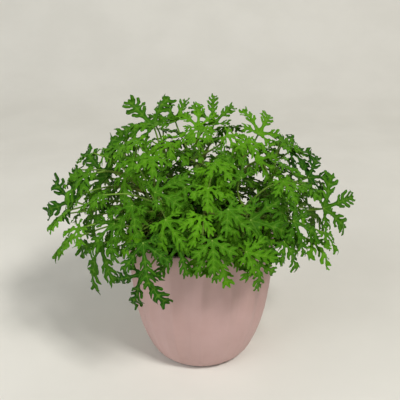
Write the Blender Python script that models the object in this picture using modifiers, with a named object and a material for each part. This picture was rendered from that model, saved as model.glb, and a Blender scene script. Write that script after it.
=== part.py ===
"""Potted scented geranium: a pleated cover pot, potting soil, woody stems and deeply cut leaves.

The origin is the centre of the pot's flat foot, +Z is up, and the front faces -Y. Units are metres,
but the tables of stems and leaves are in millimetres and degrees.
Azimuths are in degrees: 0 is the front (-Y), 90 is +X, 180 is the back, -90 is -X.
"""

import itertools
import math

import bmesh
import bpy
from mathutils import Vector
from mathutils.bvhtree import BVHTree

MILLIMETRE = 0.001

# --- Pot ---------------------------------------------------------------------------------------
POT_HEIGHT = 0.135
POT_RIM_RADIUS = 0.0725
POT_SHOULDER_RADIUS = 0.0475  # where the side would meet the table with no rounding
POT_FOOT_ROUNDING = 0.009  # radius of the rounding between the flat foot and the side
POT_SIDE_POWER = 3.0  # how quickly the side turns upright
POT_WALL = 0.0028
POT_FLOOR = 0.004
PLEATS = 16
PLEAT_DEPTH = 0.0024  # at the rim
PLEAT_FADE = 0.8  # power by which the pleats grow shallower towards the foot
PLEAT_LEAN_FOOT, PLEAT_LEAN_RIM = 0.10, 0.55  # where the valley lies in its pleat, foot and rim
SIDE_RINGS = 8

# --- Soil --------------------------------------------------------------------------------------
SOIL_BELOW_RIM = 0.016
SOIL_CROWN = 0.004  # how much higher the soil stands in the middle
SOIL_SIDES = 36
SOIL_RING_SHARES = [1, 0.7, 0.42, 0.18, 0]  # shares of the soil's depth at which its side bends
FIT_GAP = 0.0003  # clearance between pieces that touch
WATERING_SPACE = Vector((0.030, 0.012, 0.009))  # free space for water in front of the stems
WATERING_GAP = 0.002  # from that space to the pot's wall and to the soil

# --- Stems -------------------------------------------------------------------------------------
STEM_BASE_RADIUS = 0.0026
STEM_TIP_RADIUS = 0.0017
STEM_DEPTH_IN_SOIL = 0.018
STEM_POINTS = 8

# Each stem: its azimuth and spread in the soil, then the azimuth, spread and height of its tip. A spread
# is a distance from the axis, in percent of the rim's radius, and a height is above the rim.
STEMS = {
    "stem_centre": (150, 8, -150, 22, 70),
    "stem_front": (0, 25, 4, 72, 41),
    "stem_front_right": (48, 28, 46, 83, 43),
    "stem_right": (92, 30, 88, 91, 47),
    "stem_back_right": (138, 28, 128, 69, 63),
    "stem_back": (180, 28, 178, 66, 57),
    "stem_back_left": (-135, 28, -128, 63, 67),
    "stem_left": (-92, 30, -92, 88, 49),
    "stem_front_left": (-46, 28, -44, 80, 41),
}

# --- Leaves ------------------------------------------------------------------------------------
LEAF_THICKNESS = 0.0009
LEAF_CUP = 0.12  # how steeply the blade rises from its hub, and
LEAF_DROOP = 0.30  # how far it has bent down again at a lobe's tip, as shares of the lobe's length
PETIOLE_RADIUS = 0.0010
PETIOLE_RINGS = 6
LEAF_CLEARANCE = 0.0004  # least air round a leaf
HUB_SHARE = 0.085  # the hub's radius as a share of the middle lobe's length

# Each lobe: its direction in degrees, its length as a share of the middle lobe's, and whether it has
# side lobules. Each station along a lobe: share of its length, and its half width.
LOBES = [(0, 1.0, True), (52, 0.90, True), (-52, 0.90, True), (104, 0.70, False), (-104, 0.70, False)]
LOBE_STATIONS = [(0.30, 0.065), (0.66, 0.110), (1.0, 0.075)]
LOBULE_OUT, LOBULE_FORWARD, LOBULE_TAPER = 0.14, 0.09, 0.22

# Each leaf: its stem and how far up that stem it grows (0 in the soil, 1 at the tip); azimuth, spread and
# height of its hub, as for a stem; the azimuth that its blade faces and its tilt from level; the turn of
# its middle lobe from the way that the petiole points; and the length of its middle lobe.
LEAVES = [
    # the crown, from left to right
    ("stem_back_left", 0.97, -129, 83, 89, -25, 44, 22, 47),
    ("stem_centre", 0.97, -145, 63, 97, -10, 48, 0, 36),
    ("stem_centre", 0.84, -175, 41, 91, 8, 40, 0, 30),
    ("stem_back", 0.97, 164, 61, 93, 5, 52, 20, 36),
    ("stem_back_right", 0.97, 121, 91, 83, 30, 46, 0, 38),
    ("stem_back_right", 0.80, 108, 127, 67, 50, 46, 0, 38),
    # the left flank
    ("stem_left", 0.97, -97, 127, 47, -30, 52, -35, 54),
    ("stem_left", 0.66, -88, 171, 25, -30, 52, -38, 44),
    ("stem_back_left", 0.82, -110, 113, 71, -50, 48, 0, 36),
    ("stem_left", 0.82, -72, 99, 63, -45, 42, 0, 34),
    ("stem_front_left", 0.62, -62, 141, 5, -40, 70, 40, 48),
    ("stem_front_left", 0.72, -50, 135, 31, -40, 52, 0, 36),
    ("stem_front_left", 0.92, -42, 121, 49, -35, 45, 0, 32),
    # the right flank
    ("stem_right", 0.97, 92, 141, 49, 40, 52, 0, 38),
    ("stem_right", 0.66, 85, 160, 25, 25, 54, 25, 41),
    ("stem_right", 0.82, 60, 116, 53, 40, 45, 0, 34),
    ("stem_front_right", 0.75, 54, 141, 34, 45, 50, 25, 36),
    ("stem_front_right", 0.95, 34, 121, 41, 25, 52, 110, 48),
    # the front
    ("stem_front", 0.97, 14, 124, 55, 10, 45, 0, 28),
    ("stem_front", 0.88, 3, 119, 49, 0, 50, 0, 27),
    ("stem_front_left", 0.97, -20, 119, 43, -10, 52, 0, 32),
    ("stem_front", 0.80, 5, 135, 33, 5, 56, 0, 28),
    ("stem_front_left", 0.86, -30, 99, 59, -20, 42, 0, 32),
    ("stem_front", 0.72, -12, 132, 30, -10, 58, 0, 31),
    ("stem_front_left", 0.66, -28, 135, 23, -25, 60, 0, 34),
    ("stem_front_left", 0.54, -27, 152, 1, -20, 78, -20, 37),
    ("stem_front", 0.58, 0, 136, 21, 0, 72, 10, 27),
    ("stem_front", 0.64, 15, 142, 24, 12, 58, 25, 27),
    ("stem_front_right", 0.58, 27, 147, 15, 24, 66, 35, 27),
    ("stem_front_right", 0.66, 37, 143, 20, 38, 54, 15, 29),
    # the middle of the crown
    ("stem_centre", 0.90, 12, 61, 77, 5, 52, 0, 32),
    ("stem_front_right", 0.88, 38, 83, 65, 25, 48, 0, 33),
    ("stem_centre", 0.74, -20, 80, 65, -15, 48, 0, 32),
    ("stem_centre", 0.84, 72, 74, 73, 35, 45, 0, 34),
    ("stem_centre", 0.66, -80, 66, 69, -35, 48, 0, 34),
    ("stem_centre", 0.95, 95, 33, 91, 60, 22, 0, 32),
    ("stem_centre", 0.93, -70, 41, 87, -45, 28, 0, 32),
    ("stem_back", 0.93, -165, 55, 83, 175, 12, 0, 34),
    # the back
    ("stem_back_right", 0.62, 122, 154, 33, 122, 45, 0, 42),
    ("stem_back_right", 0.50, 140, 143, 15, 140, 58, 0, 38),
    ("stem_back", 0.82, 150, 119, 57, 150, 38, 0, 38),
    ("stem_back", 0.65, 165, 149, 33, 165, 52, 0, 40),
    ("stem_back", 0.50, -176, 146, 13, -176, 62, 0, 38),
    ("stem_back", 0.90, 178, 110, 65, 178, 35, 0, 34),
    ("stem_back_left", 0.64, -150, 146, 33, -150, 50, 0, 42),
    ("stem_back_left", 0.50, -132, 152, 17, -132, 58, 0, 38),
    ("stem_back_left", 0.90, -152, 108, 65, -150, 35, 0, 35),
    ("stem_left", 0.50, -106, 152, 11, -106, 55, 0, 38),
    ("stem_right", 0.50, 106, 154, 11, 106, 55, 0, 38),
]

# A leaf that would touch a piece already in place is moved by the smallest sum of these steps that
# clears it: azimuth, spread, height, tilt and share along its stem.
NUDGES = (3, 3, 3, 7, 0.03)
NUDGE_REACH = 3  # most steps of one kind

PINK = (0.60, 0.36, 0.32, 1.0)
SOIL_BROWN = (0.03, 0.02, 0.015, 1.0)
STEM_GREEN = (0.22, 0.30, 0.07, 1.0)
LEAF_GREEN = (0.10, 0.28, 0.04, 1.0)


def clear_scene():
    for obj in list(bpy.data.objects):
        bpy.data.objects.remove(obj)


def collection_named(name):
    made = bpy.data.collections.new(name)
    bpy.context.scene.collection.children.link(made)
    return made


def material(name, colour, roughness):
    made = bpy.data.materials.new(name)
    made.use_nodes = True
    shader = made.node_tree.nodes["Principled BSDF"]
    shader.inputs["Base Color"].default_value = colour
    shader.inputs["Roughness"].default_value = roughness
    made.diffuse_color = colour
    return made


def place(azimuth, distance, height):
    """The point at an azimuth in degrees, a distance from the axis and a height."""
    turn = math.radians(azimuth)
    return Vector((distance * math.sin(turn), -distance * math.cos(turn), height))


def spread_distance(spread):
    return POT_RIM_RADIUS * spread / 100


def height_above_rim(height):
    return POT_HEIGHT + height * MILLIMETRE


def link_mesh(name, mesh, finish, group):
    mesh.materials.append(finish)
    obj = bpy.data.objects.new(name, mesh)
    group.objects.link(obj)
    return obj


def mesh_from_bmesh(name, bm):
    mesh = bpy.data.meshes.new(name)
    bm.to_mesh(mesh)
    bm.free()
    return mesh


def evaluated_mesh(obj):
    """A new mesh of an object as its modifiers leave it."""
    bpy.context.view_layer.update()
    graph = bpy.context.evaluated_depsgraph_get()
    return bpy.data.meshes.new_from_object(obj.evaluated_get(graph))


# --- Pot ---------------------------------------------------------------------------------------
def side_radius(z):
    """The pot's outer radius at the ridges of its pleats, without the rounding at the foot."""
    left = 1 - z / POT_HEIGHT
    return POT_SHOULDER_RADIUS + (POT_RIM_RADIUS - POT_SHOULDER_RADIUS) * (1 - left**POT_SIDE_POWER)


def outer_radius(z):
    above = min(z, POT_FOOT_ROUNDING)
    inset = POT_FOOT_ROUNDING - math.sqrt(2 * POT_FOOT_ROUNDING * above - above**2)
    return side_radius(z) - inset


def inner_radius(z):
    return side_radius(z) - PLEAT_DEPTH - POT_WALL


def soil_edge_height():
    return POT_HEIGHT - SOIL_BELOW_RIM


def inner_heights(bottom):
    """Heights at which the pot's inside and the soil's side bend, from the soil's edge down."""
    return [bottom + (soil_edge_height() - bottom) * share for share in SOIL_RING_SHARES]


def pleated_ring(z):
    """Points round the outside. Each pleat has a ridge, a valley that leans across it, and facets."""
    rise = z / POT_HEIGHT
    valley = PLEAT_LEAN_FOOT + (PLEAT_LEAN_RIM - PLEAT_LEAN_FOOT) * rise
    depth = PLEAT_DEPTH * rise**PLEAT_FADE
    corners = [(0, 0), (valley / 2, 0.62), (valley, 1), ((1 + valley) / 2, 0.42)]
    return [
        place(360 * (pleat + share) / PLEATS, outer_radius(z) - depth * sunk, z)
        for pleat in range(PLEATS)
        for share, sunk in corners
    ]


def plain_ring(z, count):
    return [place(360 * i / count, inner_radius(z), z) for i in range(count)]


def extrude_ring(bm, ring, points):
    """Extrudes a closed ring of vertices to new points; returns the new ring."""
    edges = [bm.edges.get((ring[i - 1], ring[i])) for i in range(len(ring))]
    made = bmesh.ops.extrude_edge_only(bm, edges=edges)["geom"]
    fresh = {v for v in made if isinstance(v, bmesh.types.BMVert)}
    moved = [next(e.other_vert(v) for e in v.link_edges if e.other_vert(v) in fresh) for v in ring]
    for vert, point in zip(moved, points):
        vert.co = point
    return moved


def build_pot(finish, group):
    """A foot disc, extruded ring by ring up the pleated side, over the rim and down the plain inside."""
    bm = bmesh.new()
    first = pleated_ring(0)
    ring = bmesh.ops.create_circle(bm, cap_ends=True, segments=len(first), radius=1)["verts"]
    for vert, point in zip(ring, first):
        vert.co = point
    foot = [POT_FOOT_ROUNDING * (1 - math.cos(math.radians(turn))) for turn in (30, 60, 90)]
    side = [foot[-1] + (POT_HEIGHT - foot[-1]) * step / SIDE_RINGS for step in range(1, SIDE_RINGS + 1)]
    for z in foot + side:
        ring = extrude_ring(bm, ring, pleated_ring(z))
    for z in [POT_HEIGHT, *inner_heights(POT_FLOOR)]:
        ring = extrude_ring(bm, ring, plain_ring(z, len(ring)))
    bm.faces.new(ring)
    bmesh.ops.recalc_face_normals(bm, faces=bm.faces)
    return link_mesh("pot", mesh_from_bmesh("pot", bm), finish, group)


# --- Soil --------------------------------------------------------------------------------------
def soil_height(distance):
    """Height of the soil's surface at a distance from the axis."""
    share = min(1.0, distance / inner_radius(soil_edge_height()))
    return soil_edge_height() + SOIL_CROWN * (1 - share**2)


def build_soil(finish, group, cutters):
    """A turned plug that fills the inside of the pot, with a socket for each stem."""
    edge = inner_radius(soil_edge_height()) - 2 * FIT_GAP
    profile = [(edge * share, soil_height(edge * share)) for share in (0, 0.4, 0.75)]
    profile += [(inner_radius(z) - 2 * FIT_GAP, z) for z in inner_heights(POT_FLOOR + FIT_GAP)]
    profile.append((0, POT_FLOOR + FIT_GAP))
    bm = bmesh.new()
    verts = [bm.verts.new((x, 0, z)) for x, z in profile]
    for upper, lower in zip(verts, verts[1:]):
        bm.edges.new((upper, lower))
    soil = link_mesh("soil", mesh_from_bmesh("soil", bm), finish, group)
    turned = soil.modifiers.new("turned", "SCREW")
    turned.steps = turned.render_steps = SOIL_SIDES
    turned.use_merge_vertices = True
    turned.merge_threshold = 0.00001
    for cutter in cutters:
        cut = soil.modifiers.new(cutter.name, "BOOLEAN")
        cut.operation = "DIFFERENCE"
        cut.object = cutter
    return soil


# --- Stems -------------------------------------------------------------------------------------
def stem_point(name, share):
    """The point on a stem's centre line, which leaves the soil upright and then leans out."""
    base_azimuth, base_spread, tip_azimuth, tip_spread, tip_height = STEMS[name]
    base = place(base_azimuth, spread_distance(base_spread), 0)
    base.z = soil_height(base.length) - STEM_DEPTH_IN_SOIL
    tip = place(tip_azimuth, spread_distance(tip_spread), height_above_rim(tip_height))
    bend = base.lerp(tip, 0.35)
    bend.z = (base.z + tip.z) / 2
    return base * (1 - share) ** 2 + bend * 2 * share * (1 - share) + tip * share**2


def stem_direction(name, share):
    return (stem_point(name, share + 0.01) - stem_point(name, share - 0.01)).normalized()


def stem_radius(share):
    return STEM_BASE_RADIUS + (STEM_TIP_RADIUS - STEM_BASE_RADIUS) * share


def stem_shares():
    """Where a stem's points lie on it: a socket uses the same ones, so that their facets agree."""
    return [i / (STEM_POINTS - 1) for i in range(STEM_POINTS)]


def stem_curve(name, stem, shares, extra, group):
    """A tapered round curve through a stem's points, as much thicker than the stem as extra says."""
    data = bpy.data.curves.new(name, "CURVE")
    data.dimensions = "3D"
    data.bevel_depth = 1.0
    data.bevel_resolution = 2
    data.use_fill_caps = True
    spline = data.splines.new("POLY")
    spline.points.add(len(shares) - 1)
    for point, share in zip(spline.points, shares):
        point.co = (*stem_point(stem, share), 1)
        point.radius = stem_radius(share) + extra
    obj = bpy.data.objects.new(name, data)
    group.objects.link(obj)
    return obj


def build_stem(name, finish, group):
    stem = stem_curve(name, name, stem_shares(), 0, group)
    stem.data.materials.append(finish)
    return stem


def build_socket(name, group):
    """The cutter for a stem's socket: the buried part of the stem, thicker by the clearance."""
    shares = stem_shares()
    out = next(i for i, share in enumerate(shares) if stem_point(name, share).z > soil_height(0))
    curve = stem_curve(name + "_socket", name, [-0.01, *shares[1:out + 1]], 1.5 * FIT_GAP, group)
    mesh = evaluated_mesh(curve)
    bm = bmesh.new()
    bm.from_mesh(mesh)
    bmesh.ops.remove_doubles(bm, verts=bm.verts, dist=0.00001)
    bm.to_mesh(mesh)
    bm.free()
    bpy.data.objects.remove(curve)
    cutter = bpy.data.objects.new(name + "_socket", mesh)
    cutter.hide_render = True
    cutter.display_type = "WIRE"
    group.objects.link(cutter)
    return cutter


# --- Leaves ------------------------------------------------------------------------------------
def extrude_edge(bm, edge, ends):
    """Extrudes an edge so that the copy of each of its vertices lands on the point given for it."""
    made = bmesh.ops.extrude_edge_only(bm, edges=[edge])["geom"]
    fresh = {v for v in made if isinstance(v, bmesh.types.BMVert)}
    for vert, end in ends.items():
        next(e.other_vert(vert) for e in vert.link_edges if e.other_vert(vert) in fresh).co = end
    return next(e for e in made if isinstance(e, bmesh.types.BMEdge) and set(e.verts) == fresh)


def grow_lobe(bm, hub_edges, direction, length, has_lobules):
    """Extrudes the hub edge nearest to a direction, station by station, and a lobule on each side."""
    ahead = Vector((math.cos(math.radians(direction)), math.sin(math.radians(direction)), 0))
    left = Vector((-ahead.y, ahead.x, 0))

    def across(vert):
        return left if vert.co.dot(left) > 0 else -left

    edge = max(hub_edges, key=lambda e: (e.verts[0].co + e.verts[1].co).dot(ahead))
    for station, (share, half_width) in enumerate(LOBE_STATIONS):
        old = list(edge.verts)
        edge = extrude_edge(bm, edge, {v: ahead * share * length + across(v) * half_width for v in old})
        if not has_lobules or station != 1:
            continue
        for outer in edge.verts:
            inner = next(v for v in old if across(v) == across(outer))
            shift = across(outer) * LOBULE_OUT + ahead * LOBULE_FORWARD
            narrowing = (outer.co - inner.co) * LOBULE_TAPER
            ends = {inner: inner.co + shift + narrowing, outer: outer.co + shift - narrowing}
            extrude_edge(bm, bm.edges.get((inner, outer)), ends)


def leaf_template():
    """A flat leaf of unit length: its points and its faces.

    A point's z says what it belongs to: 0 is the top of the blade, -1 its underside, and -2, -3 ...
    are the rings of the petiole, whose points keep only their direction round it.
    """
    bm = bmesh.new()
    bmesh.ops.create_circle(bm, cap_ends=True, cap_tris=True, segments=6, radius=HUB_SHARE)
    hub_edges = [e for e in bm.edges if e.is_boundary]
    for direction, length, has_lobules in LOBES:
        grow_lobe(bm, hub_edges, direction, length, has_lobules)
    made = bmesh.ops.extrude_face_region(bm, geom=list(bm.faces))["geom"]
    under = [v for v in made if isinstance(v, bmesh.types.BMVert)]
    for vert in under:
        vert.co.z = -1
    centre = min(under, key=lambda v: v.co.xy.length)
    hub = {e.other_vert(centre) for e in centre.link_edges}
    bmesh.ops.dissolve_verts(bm, verts=[centre])
    face = next(f for f in bm.faces if set(f.verts) == hub)
    for ring in range(PETIOLE_RINGS):
        made = bmesh.ops.extrude_face_region(bm, geom=[face, *face.edges, *face.verts])["geom"]
        face = next(f for f in made if isinstance(f, bmesh.types.BMFace))
        for vert in face.verts:
            vert.co.z = -2 - ring
    bmesh.ops.recalc_face_normals(bm, faces=bm.faces)
    bm.verts.index_update()
    points = [vert.co.copy() for vert in bm.verts]
    faces = [tuple(vert.index for vert in f.verts) for f in bm.faces]
    bm.free()
    return points, faces


def petiole_rings(start, away, hub, normal, across):
    """Centres and two axes of the petiole's rings, from just under the blade's hub to the stem."""
    reach = (hub - start).length
    first = hub - normal * reach * 0.30
    second = start + (away * 0.7 + Vector((0, 0, 0.3))) * reach * 0.40
    centres = []
    for ring in range(PETIOLE_RINGS):
        t = ring / (PETIOLE_RINGS - 1)
        centres.append(hub * (1 - t) ** 3 + first * 3 * t * (1 - t) ** 2 + second * 3 * t**2 * (1 - t) + start * t**3)
    rings = []
    axis = across
    for ring, centre in enumerate(centres):
        before = centres[max(ring - 1, 0)]
        after = centres[min(ring + 1, PETIOLE_RINGS - 1)]
        up = (before - after).normalized()
        if ring == 0:
            up = normal
        if ring == PETIOLE_RINGS - 1:
            up = away
        axis = (axis - up * axis.dot(up)).normalized()
        rings.append((centre, axis, up.cross(axis)))
    return rings


def leaf_points(template, leaf, extra=0.0):
    """The template's points bent into one leaf, fatter all round by extra."""
    name, share, azimuth, spread, height, facing, tilt, turn, size = leaf
    size *= MILLIMETRE
    hub = place(azimuth, spread_distance(spread), height_above_rim(height))
    normal = place(facing, math.sin(math.radians(tilt)), math.cos(math.radians(tilt)))
    on_stem = stem_point(name, share)
    along = stem_direction(name, share)
    away = hub - on_stem
    away = (away - along * away.dot(along)).normalized()
    start = on_stem + away * (stem_radius(share) + FIT_GAP)
    ahead = hub - start
    ahead = (ahead - normal * ahead.dot(normal)).normalized()
    side = normal.cross(ahead)
    ahead, side = (
        ahead * math.cos(math.radians(turn)) + side * math.sin(math.radians(turn)),
        side * math.cos(math.radians(turn)) - ahead * math.sin(math.radians(turn)),
    )
    thick = LEAF_THICKNESS / 2 + extra
    rings = petiole_rings(start, away, hub - normal * (thick + FIT_GAP), normal, ahead)
    points = []
    for point in template:
        if point.z < -1.5:
            centre, first, second = rings[round(-2 - point.z)]
            out = point.xy.normalized() * (PETIOLE_RADIUS + extra)
            points.append(centre + first * out.x + second * out.y)
        else:
            flat = point.xy * (size + extra)
            radius = point.xy.length
            lift = (LEAF_CUP * radius - LEAF_DROOP * radius**2) * size
            points.append(hub + ahead * flat.x + side * flat.y + normal * (lift + thick * (2 * point.z + 1)))
    return points


class Placed:
    """The surfaces of the pieces already in place."""

    def __init__(self):
        self.points = []
        self.faces = []
        self.tree = None

    def add(self, points, faces):
        shift = len(self.points)
        self.points += [tuple(point) for point in points]
        self.faces += [tuple(index + shift for index in face) for face in faces]
        self.tree = BVHTree.FromPolygons(self.points, self.faces)

    def add_object(self, obj):
        mesh = evaluated_mesh(obj)
        self.add([v.co for v in mesh.vertices], [tuple(p.vertices) for p in mesh.polygons])
        bpy.data.meshes.remove(mesh)

    def touches(self, points, faces):
        return bool(self.tree.overlap(BVHTree.FromPolygons(points, faces)))


def add_watering_space(placed):
    """Keeps the leaves out of the free space in front of the stems."""
    low = soil_edge_height() + SOIL_CROWN + WATERING_GAP
    front = math.sqrt(inner_radius(low) ** 2 - (WATERING_SPACE.x / 2) ** 2) - WATERING_GAP
    bm = bmesh.new()
    bmesh.ops.create_cube(bm, size=1)
    for vert in bm.verts:
        vert.co *= WATERING_SPACE
        vert.co += Vector((0, -front + WATERING_SPACE.y / 2, low + WATERING_SPACE.z / 2))
    bm.verts.index_update()
    placed.add([v.co for v in bm.verts], [tuple(v.index for v in f.verts) for f in bm.faces])
    bm.free()


def nudged(leaf):
    """The leaf as listed, and then moved by more and more steps."""
    counts = range(-NUDGE_REACH, NUDGE_REACH + 1)
    moves = itertools.product(counts, repeat=len(NUDGES))
    for move in sorted(moves, key=lambda m: (sum(n * n for n in m), m)):
        lean, reach, lift, tilt, slide = (n * step for n, step in zip(move, NUDGES))
        name, share, azimuth, spread, height, facing, slope, turn, size = leaf
        share = min(0.98, share + slide)
        yield (name, share, azimuth + lean, spread + reach, height + lift, facing, slope + tilt, turn, size)


def build_leaves(finish, group, placed):
    points, faces = leaf_template()
    for number, leaf in enumerate(LEAVES, 1):
        chosen = next(
            moved for moved in nudged(leaf)
            if not placed.touches(leaf_points(points, moved, LEAF_CLEARANCE), faces)
        )
        shaped = leaf_points(points, chosen)
        placed.add(shaped, faces)
        name = f"leaf_{number:02d}"
        mesh = bpy.data.meshes.new(name)
        mesh.from_pydata(shaped, [], faces)
        link_mesh(name, mesh, finish, group)


def main():
    clear_scene()
    plant = collection_named("potted_scented_geranium")
    cutters = collection_named("cutters")
    leaf_green = material("leaf", LEAF_GREEN, 0.55)
    stem_green = material("stem", STEM_GREEN, 0.6)
    pot = build_pot(material("pot", PINK, 0.45), plant)
    stems = [build_stem(name, stem_green, plant) for name in STEMS]
    sockets = [build_socket(name, cutters) for name in STEMS]
    soil = build_soil(material("soil", SOIL_BROWN, 0.95), plant, sockets)
    placed = Placed()
    for obj in [pot, soil, *stems]:
        placed.add_object(obj)
    add_watering_space(placed)
    build_leaves(leaf_green, plant, placed)


main()
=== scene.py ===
# %% Load the plant's frame
import math
import random

import bmesh
import bpy
import numpy as np
from mathutils import Matrix, Vector, noise
from mathutils.bvhtree import BVHTree


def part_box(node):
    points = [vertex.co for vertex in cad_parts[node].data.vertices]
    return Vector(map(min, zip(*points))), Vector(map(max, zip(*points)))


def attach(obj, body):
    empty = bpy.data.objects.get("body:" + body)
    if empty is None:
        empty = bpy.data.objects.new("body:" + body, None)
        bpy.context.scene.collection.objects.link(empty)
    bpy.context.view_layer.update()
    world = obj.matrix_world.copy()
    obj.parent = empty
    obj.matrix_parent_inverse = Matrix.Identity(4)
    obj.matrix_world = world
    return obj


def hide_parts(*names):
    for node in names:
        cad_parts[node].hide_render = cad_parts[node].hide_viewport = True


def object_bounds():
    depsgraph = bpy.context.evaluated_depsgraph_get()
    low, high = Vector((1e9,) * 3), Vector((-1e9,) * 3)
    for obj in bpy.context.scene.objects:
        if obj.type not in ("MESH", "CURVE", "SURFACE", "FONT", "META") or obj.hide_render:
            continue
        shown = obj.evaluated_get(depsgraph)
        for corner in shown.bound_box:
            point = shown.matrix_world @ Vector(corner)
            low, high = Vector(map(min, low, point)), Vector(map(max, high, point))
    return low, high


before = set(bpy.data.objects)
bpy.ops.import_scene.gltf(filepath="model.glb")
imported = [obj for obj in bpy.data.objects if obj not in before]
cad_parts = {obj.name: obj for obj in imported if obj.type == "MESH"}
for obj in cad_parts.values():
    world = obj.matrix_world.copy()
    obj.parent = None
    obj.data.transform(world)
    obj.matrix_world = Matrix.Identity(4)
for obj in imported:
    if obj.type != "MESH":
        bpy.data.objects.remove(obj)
cad_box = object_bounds()
leaf_nodes = sorted(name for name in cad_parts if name.startswith("leaf_"))
stem_nodes = sorted(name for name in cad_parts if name.startswith("stem_"))
print(len(leaf_nodes), "leaves on", len(stem_nodes), "stems")
print("box from", [round(v, 3) for v in cad_box[0]], "to", [round(v, 3) for v in cad_box[1]])

# %% [markdown]
# # A potted scented geranium
# The frame holds a plain version of the plant: a pleated pot, a plug of soil, nine leaning stems and
# the leaves as thin five-lobed solids, each in its right place and at its right size. This lesson makes
# the real thing round it. It starts with the leaf, because a plant is mostly leaves: one is modelled
# with care, and the rest are copies that are bent, tinted and turned until no two match.
#
# ## Read where everything grows
# Every leaf and stem in the frame is a tube at one end, so its vertices lie in rings. Walking the mesh
# from the end of a tube gives ring after ring, and their middles are the line that the tube follows.
# That is better than typing the places again: when the frame changes, the leaves follow it.

# %% Walk along a tube's rings
MERGE = 0.00002  # corners closer than this are one corner
STEM_REACH = 0.007  # wider than a stem's first ring, so that it takes in all of it
PETIOLE_REACH = 0.0026  # the same for a petiole


def merged_copy(node):
    """A bmesh of a CAD node with its loose triangles joined at their corners."""
    bm = bmesh.new()
    bm.from_mesh(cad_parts[node].data)
    bmesh.ops.remove_doubles(bm, verts=bm.verts, dist=MERGE)
    return bm


def neighbours(verts, seen):
    return {edge.other_vert(vert) for vert in verts for edge in vert.link_edges} - seen


def tube_rings(bm, end, reach):
    """The rings of a tube from the one round the vertex end, until a ring has another count."""
    first = {vert for vert in bm.verts if (vert.co - end.co).length < reach}
    rings, seen = [first], set(first)
    while True:
        ring = neighbours(rings[-1], seen)
        if len(ring) != len(first):
            return rings
        seen |= ring
        rings.append(ring)


def middle(verts):
    return sum((vert.co for vert in verts), Vector()) / len(verts)


# %% Read the stems
def read_stem(node):
    """The stem's centre points from the soil to its tip, and its radius at each."""
    bm = merged_copy(node)
    lowest = min(bm.verts, key=lambda vert: vert.co.z)
    rings = tube_rings(bm, lowest, STEM_REACH)
    points = [middle(ring) for ring in rings]
    radii = [max((vert.co - point).length for vert in ring) for ring, point in zip(rings, points)]
    bm.free()
    return points, radii


stems = {node: read_stem(node) for node in stem_nodes}
print({node: len(points) for node, (points, radii) in stems.items()})


# %% Read the leaves
LOBE_END = 0.985  # what lies further out than this share of a leaf's reach is the end of its middle lobe


def read_leaf(node):
    """Where a leaf grows: its petiole's line, hub, normal, and the way and length of its middle lobe."""
    bm = merged_copy(node)
    rings = max((tube_rings(bm, vert, PETIOLE_REACH) for vert in bm.verts), key=len)
    hub = middle(rings[-1])
    flat = np.array([vert.co - hub for vert in rings[-1]])
    normal = Vector(np.linalg.svd(flat)[2][2])
    if normal.dot(hub - middle(rings[-2])) < 0:
        normal.negate()
    on_petiole = set().union(*rings)
    blade = [vert for vert in bm.verts if vert not in on_petiole]
    reach = max((vert.co - hub).length for vert in blade)
    ahead = middle([vert for vert in blade if (vert.co - hub).length > LOBE_END * reach]) - hub
    ahead -= normal * ahead.dot(normal)
    line = [middle(ring) for ring in rings[:-1]]
    bm.free()
    return {"line": line, "hub": hub, "normal": normal, "ahead": ahead.normalized(), "size": ahead.length}


leaves = {node: read_leaf(node) for node in leaf_nodes}
print("petiole points", {len(leaf["line"]) for leaf in leaves.values()})

# %% [markdown]
# ## One lobe of a leaf
# A scented geranium's leaf is a hand: five lobes spread from one point, and each lobe is cut into
# rounded fingers on both sides of its midrib. It could be cut out of a flat sheet, but then nothing
# would follow the veins. Here a lobe starts as a small grid, two faces wide, with the midrib between
# them. Its end is extruded from station to station and scaled, which gives the lobe its outline, and
# the side edges between stations are extruded forwards and outwards, so each finger is also two faces
# wide with a vein down its middle. The veins are kept as a value on the vertices, for the material.

# %% Select in edit mode by place
HUB = 0.15  # radius of the undivided middle of the leaf, as a share of the middle lobe's length
LOBE_TURN = math.radians(60)  # from one lobe to the next
NEAR = 1e-4  # two places closer than this are the same


def choose(*objs):
    """Selects these objects and no others, and makes the last one active."""
    bpy.ops.object.select_all(action="DESELECT")
    for obj in objs:
        obj.select_set(True)
    bpy.context.view_layer.objects.active = objs[-1]


def start_edit(obj):
    choose(obj)
    bpy.ops.object.mode_set(mode="EDIT")
    bpy.ops.mesh.select_all(action="DESELECT")


def end_edit():
    bpy.ops.object.mode_set(mode="OBJECT")


def pick(obj, kind, wanted):
    """Selects the vertices, or the edges, whose place passes the test; an edge's place is its middle."""
    bpy.ops.mesh.select_mode(type=kind)
    bpy.ops.mesh.select_all(action="DESELECT")
    bm = bmesh.from_edit_mesh(obj.data)
    for part in bm.verts if kind == "VERT" else bm.edges:
        part.select_set(wanted(part.co if kind == "VERT" else middle(part.verts)))
    bm.select_flush_mode()
    bmesh.update_edit_mesh(obj.data)


def extrude_by(x, y, z=0.0):
    bpy.ops.mesh.extrude_region_move(TRANSFORM_OT_translate={"value": (x, y, z)})


def scale_about(centre, x, y, z=1.0):
    bpy.ops.transform.resize(value=(x, y, z), center_override=centre)


def mark(obj, name, verts_where, value=1.0):
    """Sets a value on the vertices whose place passes the test; extrusions copy it on."""
    bm = bmesh.from_edit_mesh(obj.data)
    layer = bm.verts.layers.float.get(name) or bm.verts.layers.float.new(name)
    for vert in bm.verts:
        if verts_where(vert):
            vert[layer] = value
    bmesh.update_edit_mesh(obj.data)


VEIN_LEAD = 0.010  # how far the vein runs ahead of the corners at a finger's end


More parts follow.
